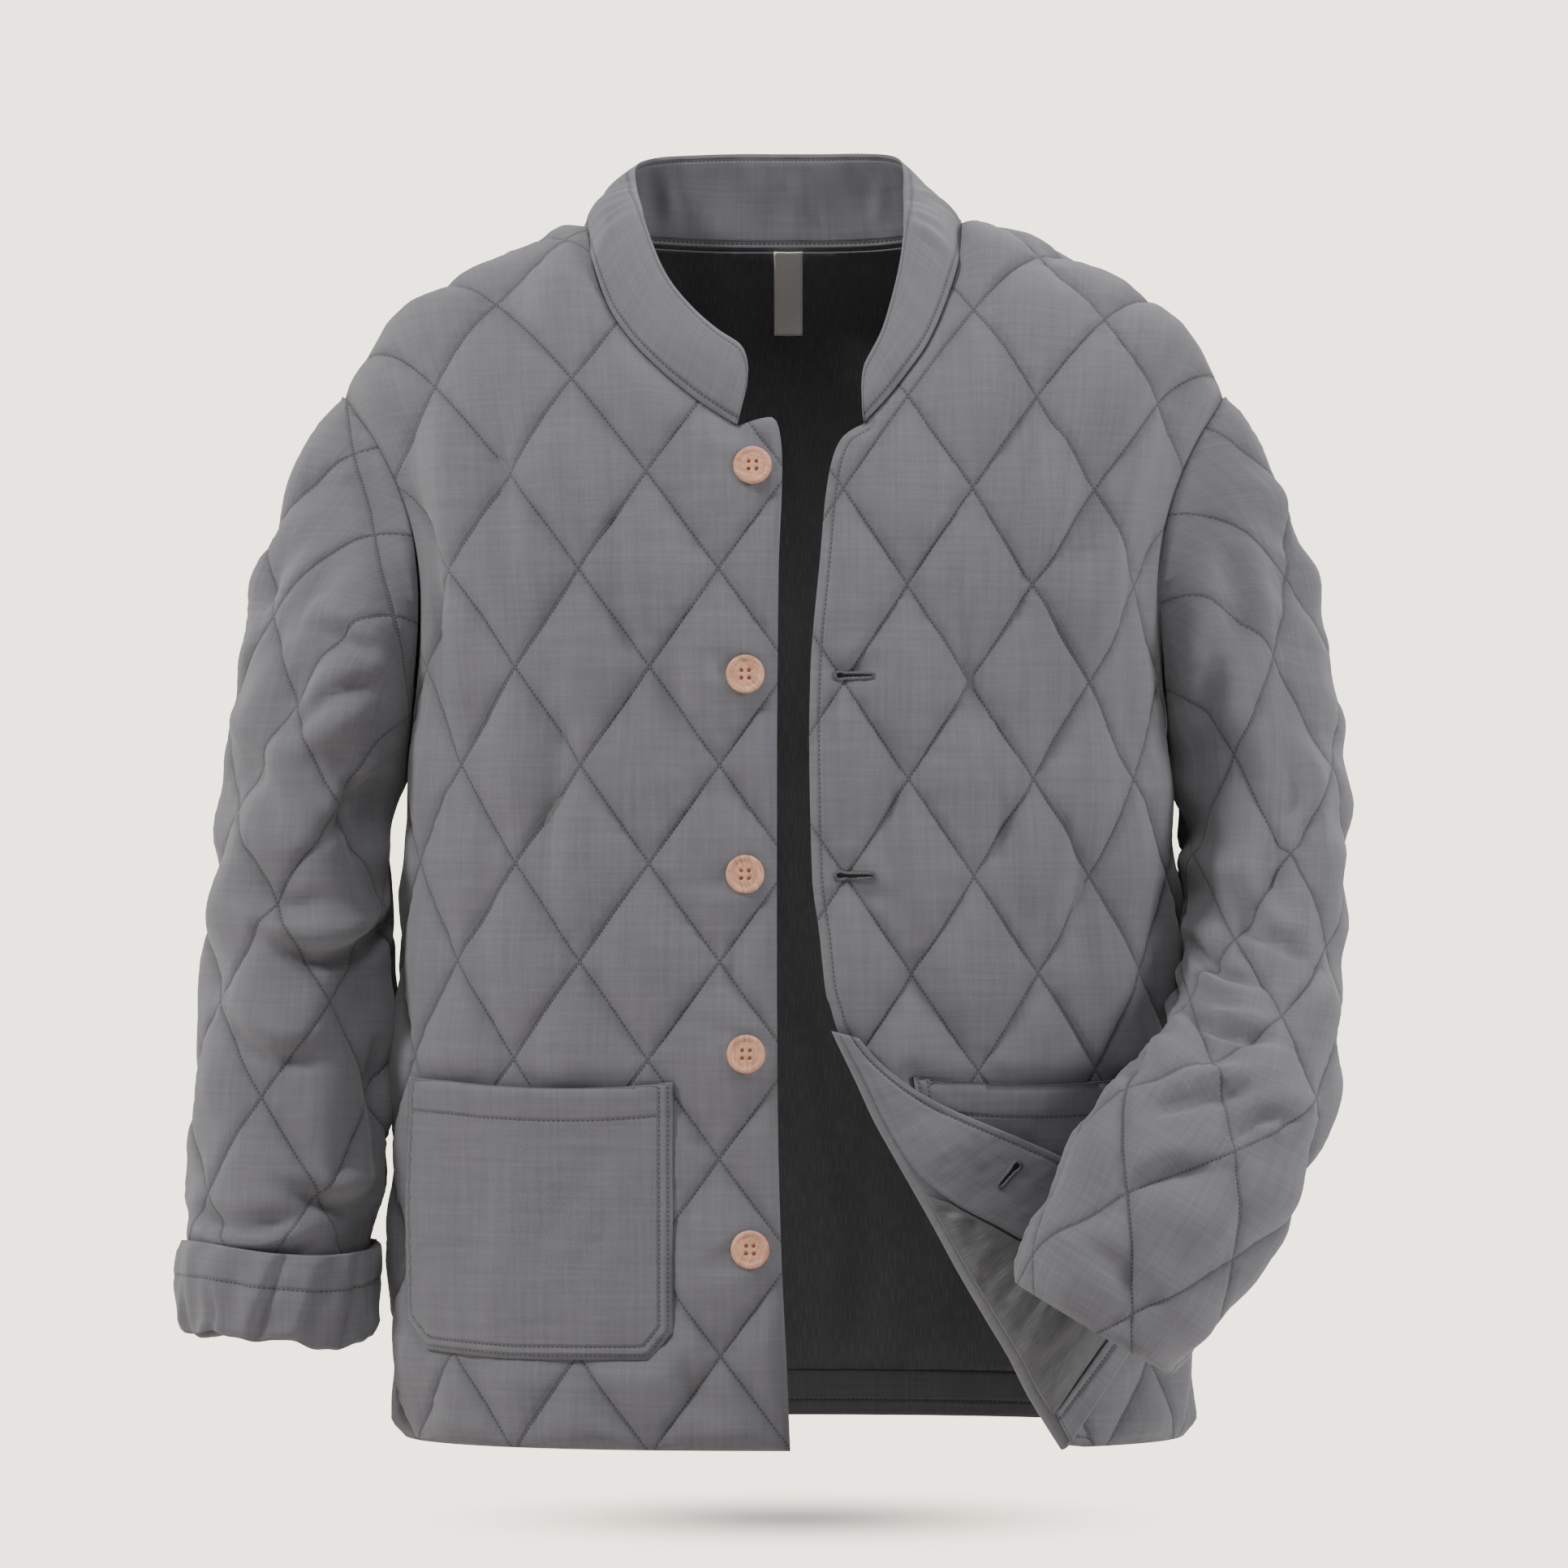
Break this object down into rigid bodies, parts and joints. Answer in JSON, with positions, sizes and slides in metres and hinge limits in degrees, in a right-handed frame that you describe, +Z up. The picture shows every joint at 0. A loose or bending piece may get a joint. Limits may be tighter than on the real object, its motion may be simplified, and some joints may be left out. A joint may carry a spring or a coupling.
{
  "type": "quilted jacket",
  "caption": "Diamond-quilted padded jacket with stand collar, patch pockets, button front, one rolled cuff and one front corner turned out.",
  "frame": {"origin": "middle of the neck opening, level with the two points where the shoulder seams meet the collar", "axes": "+Z up, from hem to collar; -Y the way the front faces; +X the wearer's left, the viewer's right"},
  "size_m": [0.6827, 0.3851, 0.7521],
  "materials": {
    "outer_cloth": "slubby plain-weave grey cotton-linen, matt",
    "lining": "dark charcoal satin lining",
    "buttons": "reddish tan wood, satin polish",
    "label": "pale woven tape, bare"
  },
  "bodies": {
    "root": {"front_right": "outer_cloth", "front_left": "outer_cloth", "back": "outer_cloth", "pocket_right": "outer_cloth", "pocket_left": "outer_cloth", "sleeve_right": "outer_cloth", "sleeve_left": "outer_cloth", "cuff_right": "outer_cloth", "collar": "outer_cloth", "button_1": "buttons", "button_2": "buttons", "button_3": "buttons", "button_4": "buttons", "button_5": "buttons", "lining_back": "lining", "hem_facing_back": "outer_cloth", "neck_label": "label", "front_left_turned": "outer_cloth", "facing_left": "outer_cloth", "lining_left": "lining", "hem_facing_left": "outer_cloth"}
  },
  "joints": []
}
